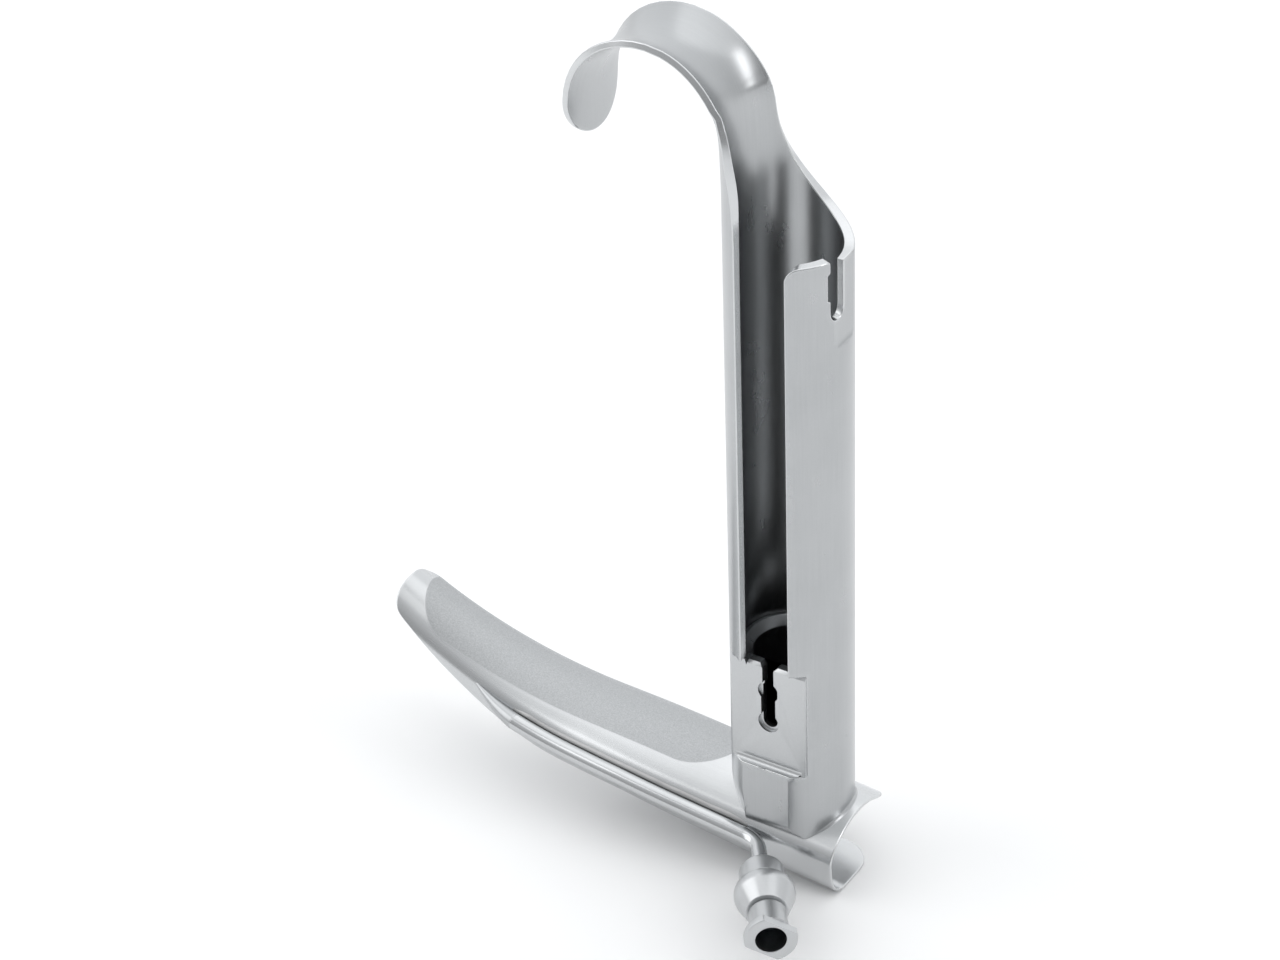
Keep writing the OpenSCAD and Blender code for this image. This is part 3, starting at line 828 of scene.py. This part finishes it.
# ---------------------------------------------------------------- soft weld between foot and deck
def weld():
    """Low fillet round the foot, except across its flat; it follows the deck and the foot's own wall."""
    verts, faces, uvs = [], [], []
    n, m = 150, 8
    first, last = radians(-48), radians(228)
    for i in range(n + 1):
        a = mix(first, last, i / n)
        reach = 0.16 + 0.44 * smooth((cos(a) - 0.1) / 0.6) * smooth((sin(a) + 0.75) / 0.4)
        for k in range(m + 1):
            t = radians(90 * k / m)
            o = reach * (1 - sin(t)) - 0.1 * (k == m)
            wall = handle_surf((pi - a) * R, seat_z(R * cos(a), R * sin(a)), 0)
            x, y = wall[0] + o * cos(a), min(wall[1] + o * sin(a), CREST_Y + 6.4)
            verts.append((x, y, seat_z(x, y) + reach * 1.1 * (1 - cos(t)) - 0.06))
            uvs.append((a * R / 10, k / 20))
    for i in range(n):
        for k in range(m):
            at = i * (m + 1) + k
            faces.append([at, at + m + 1, at + m + 2, at + 1])
    obj = make_object("foot_fillet", verts, faces, None, uvs)
    auto_smooth(obj, 80)
    return obj


finish_piece(weld(), satin, "satin_steel", "foot_weld")


# ---------------------------------------------------------------- lock plate
def plate():
    """Lock plate with its keyhole, the two countersunk stops and a bevelled brow."""
    z0, z1 = PLATE_BOTTOM - 0.22, FLOOR_Z
    upper, lower, stop_r = -3.2, -8.4, 1.6

    def prism(name, outline, y0, y1):
        bm = bmesh.new()
        front = [bm.verts.new((x * MM, y0 * MM, z * MM)) for x, z in outline]
        back = [bm.verts.new((x * MM, y1 * MM, z * MM)) for x, z in outline]
        n = len(outline)
        bm.faces.new(front)
        bm.faces.new(back[::-1])
        for i in range(n):
            bm.faces.new([front[i], front[(i + 1) % n], back[(i + 1) % n], back[i]][::-1])
        bmesh.ops.recalc_face_normals(bm, faces=bm.faces)
        if name != "cut":
            brow = [e for e in bm.edges if all(abs(v.co.y / MM - y0) < 1e-3 and abs(v.co.z / MM - z1) < 0.01
                                               for v in e.verts)]
            bmesh.ops.bevel(bm, geom=brow, offset=0.4 * MM, segments=1, affect="EDGES")
        mesh = bpy.data.meshes.new(name)
        bm.to_mesh(mesh)
        bm.free()
        obj = bpy.data.objects.new(name, mesh)
        bpy.context.scene.collection.objects.link(obj)
        return obj

    # the keyhole is open at the top, narrow first and wider between its two stops
    slim, wide = 0.88, 1.12
    right = [(slim, z1 - 0.5), (slim, upper + 1.0), (slim + 0.06, upper + 0.85), (wide, upper + 0.6), (wide, lower)]
    right += [(wide * cos(t), lower + wide * sin(t)) for t in np.linspace(0, -pi / 2, 12)[1:]]
    outline = [(-PLATE_HALF, z0), (PLATE_HALF, z0), (PLATE_HALF, z1), (slim + 0.5, z1)]
    outline += right
    outline += [(-x, z) for x, z in reversed(right[:-1])]
    outline += [(-slim - 0.5, z1), (-PLATE_HALF + 2.65, z1), (-PLATE_HALF + 2.4, z1 - 0.9), (-PLATE_HALF + 2.15, z1)]
    outline += [(-PLATE_HALF, z1 - 0.05)]
    obj = prism("lock_plate_body", outline, -PLATE_FACE, -PLATE_FACE + 1.5)
    cutters = []
    for z in (upper, lower):
        ring = [(stop_r * cos(t), z + stop_r * sin(t)) for t in np.linspace(0, 2 * pi, 49)[:-1]]
        cutters.append(prism("cut", ring, -PLATE_FACE - 1, -PLATE_FACE + 0.6))
        m = obj.modifiers.new("cut", "BOOLEAN")
        m.operation = "DIFFERENCE"
        m.solver = "EXACT"
        m.object = cutters[-1]
    b = obj.modifiers.new("bevel", "BEVEL")
    b.width, b.segments, b.limit_method, b.angle_limit = 0.16 * MM, 3, "ANGLE", radians(40)
    b.use_clamp_overlap = True
    modified(obj)
    for c in cutters:
        bpy.data.objects.remove(c)
    for p in obj.data.polygons:
        p.use_smooth = True
    auto_smooth(obj, 35)
    return obj


finish_piece(plate(), plate_steel, "satin_steel", "lock_plate")


def cove():
    """Hollow corner between the plate's face and the shelf of the foot."""
    verts, faces, uvs = [], [], []
    r, n, base = 0.7, 8, PLATE_BOTTOM - 0.24
    for k in range(n + 1):
        t = pi / 2 * k / n
        y, z = -PLATE_FACE - r + r * cos(t), base + r - r * sin(t)
        half = sqrt(R ** 2 - y ** 2) - 0.12
        for side in (-1, 1):
            verts.append((side * half, y - 0.01, z + 0.01))
            uvs.append((side * half / 10, k / 40))
    half = sqrt(R ** 2 - 7.62 ** 2) - 0.15
    verts += [(-half, -7.62, base + 0.01), (half, -7.62, base + 0.01)]
    uvs += [(-half / 10, 0.3), (half / 10, 0.3)]
    faces = [[2 * k, 2 * k + 1, 2 * k + 3, 2 * k + 2] for k in range(n + 1)]
    # painted highlight: edge values 0.4 and 0.8 lighten the cove's upper edge at the plate's face and its lower edge
    # at the shelf
    return make_object("plate_cove", verts, faces, None, uvs, [0.4] * 2 + [0.0] * (2 * n) + [0.8] * 2)


finish_piece(cove(), plate_steel, "satin_steel")


# ---------------------------------------------------------------- insufflation tube, its braze and its tip
PIPE_R, PIPE_START, PIPE_END = 1.2, 12.7, 51.5
PIPE_L = NEAR_DECK + NEAR[1][0] - 0.4


def ride(s):
    return Vector(sheet_pt(s, PIPE_L, PIPE_R + 0.02))


LUER = radians(35.5)
luer_dir = Vector((sin(LUER), -cos(LUER), 0))
BEND_R, STEM = 4.2, 4.0
wall_dir = (ride(PIPE_START) - ride(PIPE_START + 4)).normalized()
bend = wall_dir.angle(luer_dir)
side = (luer_dir - wall_dir * wall_dir.dot(luer_dir)).normalized()
start = ride(PIPE_START)


def bend_pt(a):
    return start + wall_dir * BEND_R * sin(a) + side * BEND_R * (1 - cos(a))


collar_at = bend_pt(bend) + luer_dir * STEM
route = [ride(s) for s in np.arange(PIPE_END, PIPE_START - 0.01, -0.97)]
route += [bend_pt(bend * k / 18) for k in range(1, 19)] + [collar_at + luer_dir * 1.2]
pipe = sweep("gas_pipe", route, PIPE_R)
finish_piece(pipe, bright, "polished_steel", "insufflation_tube")


def braze():
    """Thin, slightly uneven fillets in the crevices above and below the pipe."""
    verts, faces, uvs = [], [], []
    n, m = 150, 6
    rng = np.random.default_rng(7)
    wob = np.convolve(rng.normal(0, 1, n + 9), np.ones(9) / 9, "same")[:n + 1]
    for strand in (1, -1):
        first = len(verts)
        for i in range(n + 1):
            s = mix(PIPE_END + 1.0, PIPE_START + 0.3, i / n)
            w = (0.5 + 0.09 * wob[i]) * mix(0.35, 1, smooth(min(i, n - i) / 10))
            for k in range(m + 1):
                t = k / m
                l = PIPE_L - strand * mix(PIPE_R * 0.86 + w, 0.55, t)
                d = mix(-0.05, 0.0, t) + 0.16 * sin(pi * t) * w * 2
                verts.append(sheet_pt(s, l, d + 0.02))
                uvs.append((s / 10, t))
        for i in range(n):
            for k in range(m):
                a = first + i * (m + 1) + k
                f = [a, a + 1, a + m + 2, a + m + 1]
                faces.append(f if strand > 0 else f[::-1])
    obj = make_object("pipe_braze", verts, faces, None, uvs)
    auto_smooth(obj, 80)
    return obj


finish_piece(braze(), solder, "solder", "tube_braze")

tip_n = 14
tip_route, tip_rad = [], []
for i in range(tip_n + 1):
    t = i / tip_n
    r = (PIPE_R + 0.01) * (1 - 0.92 * t ** 1.3)
    tip_rad.append(r)
    tip_route.append(Vector(sheet_pt(PIPE_END - 0.25 + 8.25 * t, PIPE_L - 1.0 * t * t, r + 0.02 - 0.35 * t)))
finish_piece(sweep("pipe_point", tip_route, tip_rad), satin, "polished_steel", "tube_tip")

# ---------------------------------------------------------------- Luer connector
COLLAR, BARREL, HUB = 3.9, 5.4, 5.9
axis = Matrix.Translation(collar_at) @ Matrix.Rotation(LUER, 4, "Z") @ Matrix.Rotation(pi / 2, 4, "X")
collar_profile = [(PIPE_R, 0.0), (2.5, 0.0, 0.3), (3.2, 0.7, 0.7), (3.2, COLLAR - 0.3, 0.12),
                  (3.05, COLLAR - 0.15, 0.05), (3.05, COLLAR + 0.02)]
collar = lathe("luer_collar_turned", rounded(collar_profile, k=5), axis, 144)
finish_piece(collar, turned, "satin_steel", "luer_collar")
barrel_profile = [(2.6, COLLAR - 0.02), (3.2, COLLAR, 0.1), (3.35, COLLAR + 0.12, 0.15), (4.25, COLLAR + 0.95, 1.1),
                  (4.28, COLLAR + 2.2, 2.2), (3.0, COLLAR + BARREL, 0.2), (2.3, COLLAR + BARREL)]
barrel = lathe("luer_barrel_turned", rounded(barrel_profile, k=8), axis, 144)
finish_piece(barrel, turned, "satin_steel", "luer_barrel")
LUG, FLAT = 3.7, 2.6
z0, z1 = COLLAR + BARREL, COLLAR + BARREL + HUB


def lug_clip(p):
    """The lug ring is milled flat on two sides."""
    if p.z < z1 - 1.3 or p.to_2d().length < 2.72:
        return p
    a = radians(-31)
    u = p.x * cos(a) + p.y * sin(a)
    v = -p.x * sin(a) + p.y * cos(a)
    v = max(-FLAT, min(FLAT, v))
    q = Vector((u * cos(a) - v * sin(a), u * sin(a) + v * cos(a), p.z))
    return q if q.to_2d().length > 2.55 else p


hub_profile = rounded([(2.2, z0 - 0.1), (2.45, z0 + 0.05, 0.05), (2.45, z0 + 0.35, 0.05), (2.7, z0 + 0.5, 0.12),
                       (2.7, z1 - 1.35, 0.3), (LUG, z1 - 1.2, 0.16), (LUG, z1, 0.2), (2.15, z1, 0.12),
                       (2.0, z1 - 4.5, 0), (0.9, z1 - 4.6, 0), (0.0, z1 - 4.6)])
hub = lathe("luer_hub_turned", hub_profile, axis, 144, lug_clip)
finish_piece(hub, turned, "satin_steel", "luer_hub")
# painted shade: the bore's inner faces take the near-black steel
hub.data.materials.append(shade_black)
back = axis.inverted()
for p in hub.data.polygons:
    c = back @ (p.center / MM)
    if c.to_2d().length < 2.12 and c.z > z0:
        p.material_index = 1

# ---------------------------------------------------------------- socket insert in the foot
def insert_clip(p):
    """Keeps the sleeve behind the lock plate."""
    return Vector((p.x, max(p.y, -5.15), p.z))


SLEEVE_R, BORE_R, BORE_DEPTH = 7.06, 5.35, 21.0
insert_profile = [(SLEEVE_R, -15.5), (SLEEVE_R, FLOOR_Z, 0.15), (6.5, FLOOR_Z, 0.2), (BORE_R, 0.0, 0.3),
                  (BORE_R, -BORE_DEPTH, 0.1), (0.0, -BORE_DEPTH)]
insert = lathe("socket_ring", rounded(insert_profile, k=4), Matrix.Identity(4), 128, insert_clip)
# painted shade: the sleeve deep in the foot takes the near-black steel
finish_piece(insert, shade_black, "dark_steel", "socket_insert")

# ---------------------------------------------------------------- stage, light, camera
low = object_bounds()[0][2]
floor_mesh = bpy.data.meshes.new("floor")
size = 3.0
corners = [(-size, -size, low), (size, -size, low), (size, size, low), (-size, size, low)]
floor_mesh.from_pydata(corners, [], [[0, 1, 2, 3]])
floor = bpy.data.objects.new("floor", floor_mesh)
bpy.context.scene.collection.objects.link(floor)
pale = bpy.data.materials.new("floor_paper")
g = Graph(pale)
tc = g.add("ShaderNodeTexCoord")
paper = g.span(g.noise(tc.outputs["Object"], 30.0, 4.0, 0.5), 0.3, 0.7, 0.95, 0.97)
col = g.add("ShaderNodeCombineColor", {0: paper, 1: paper, 2: paper})
bs = g.add("ShaderNodeBsdfPrincipled", {"Roughness": 0.9, "Specular IOR Level": 0.1})
g.nt.links.new(col.outputs[0], bs.inputs["Base Color"])
g.nt.links.new(bs.outputs[0], g.add("ShaderNodeOutputMaterial").inputs[0])
floor_mesh.materials.append(pale)

world = bpy.data.worlds.new("studio")
bpy.context.scene.world = world
world.use_nodes = True
wt = world.node_tree
facing = wt.nodes.new("ShaderNodeVectorMath")
facing.operation = "DOT_PRODUCT"
facing.inputs[1].default_value = (-0.45, 0.80, 0.40)
wt.links.new(wt.nodes.new("ShaderNodeTexCoord").outputs["Generated"], facing.inputs[0])
level = wt.nodes.new("ShaderNodeMapRange")
for key, value in {"From Min": -1.0, "From Max": 1.0, "To Min": 0.27, "To Max": 1.20}.items():
    level.inputs[key].default_value = value
wt.links.new(facing.outputs["Value"], level.inputs["Value"])
wt.nodes["Background"].inputs[0].default_value = (0.97, 0.985, 1.0, 1)
wt.links.new(level.outputs[0], wt.nodes["Background"].inputs[1])
bpy.context.scene.view_settings.view_transform = "Standard"


def lamp(name, at, aim, size_x, size_y, power):
    data = bpy.data.lights.new(name, "AREA")
    data.shape, data.size, data.size_y, data.energy = "RECTANGLE", size_x, size_y, power
    obj = bpy.data.objects.new(name, data)
    obj.location = at
    obj.rotation_euler = (Vector(aim) - Vector(at)).to_track_quat("-Z", "Y").to_euler()
    bpy.context.scene.collection.objects.link(obj)


mid = (-0.015, 0.0, 0.03)
lamp("key_left", (-0.60, -0.35, 0.50), mid, 0.55, 0.80, 1.5)
lamp("top_soft", (0.10, 0.20, 0.95), mid, 1.5, 1.1, 2.2)
lamp("rim_right", (0.75, 0.10, 0.45), mid, 0.2, 0.5, 0.9)

# camera: azimuth, elevation and roll of the view, focal length in widths of the frame, and distance in metres
phi, elev, roll = radians(32.68), radians(34.3), -0.0326
FOCAL, DISTANCE, SENSOR = 4470 / 1280, 0.597, 36.0
AIM_SIDE, AIM_UP = -0.02014, 0.0287
b = Vector((sin(phi) * cos(elev), -cos(phi) * cos(elev), sin(elev)))
r0 = Vector((cos(phi), sin(phi), 0))
u0 = Vector((-sin(phi) * sin(elev), cos(phi) * sin(elev), cos(elev)))
rr = r0 * cos(roll) + u0 * sin(roll)
uu = u0 * cos(roll) - r0 * sin(roll)
at = r0 * AIM_SIDE + Vector((0, 0, AIM_UP)) + b * DISTANCE
cam_data = bpy.data.cameras.new("camera")
cam_data.sensor_width = SENSOR
cam_data.lens = FOCAL * SENSOR
cam_data.clip_start, cam_data.clip_end = 0.01, 20
cam = bpy.data.objects.new("camera", cam_data)
cam.matrix_world = Matrix.Translation(at) @ Matrix((rr, uu, b)).transposed().to_4x4()
bpy.context.scene.collection.objects.link(cam)
bpy.context.scene.camera = cam
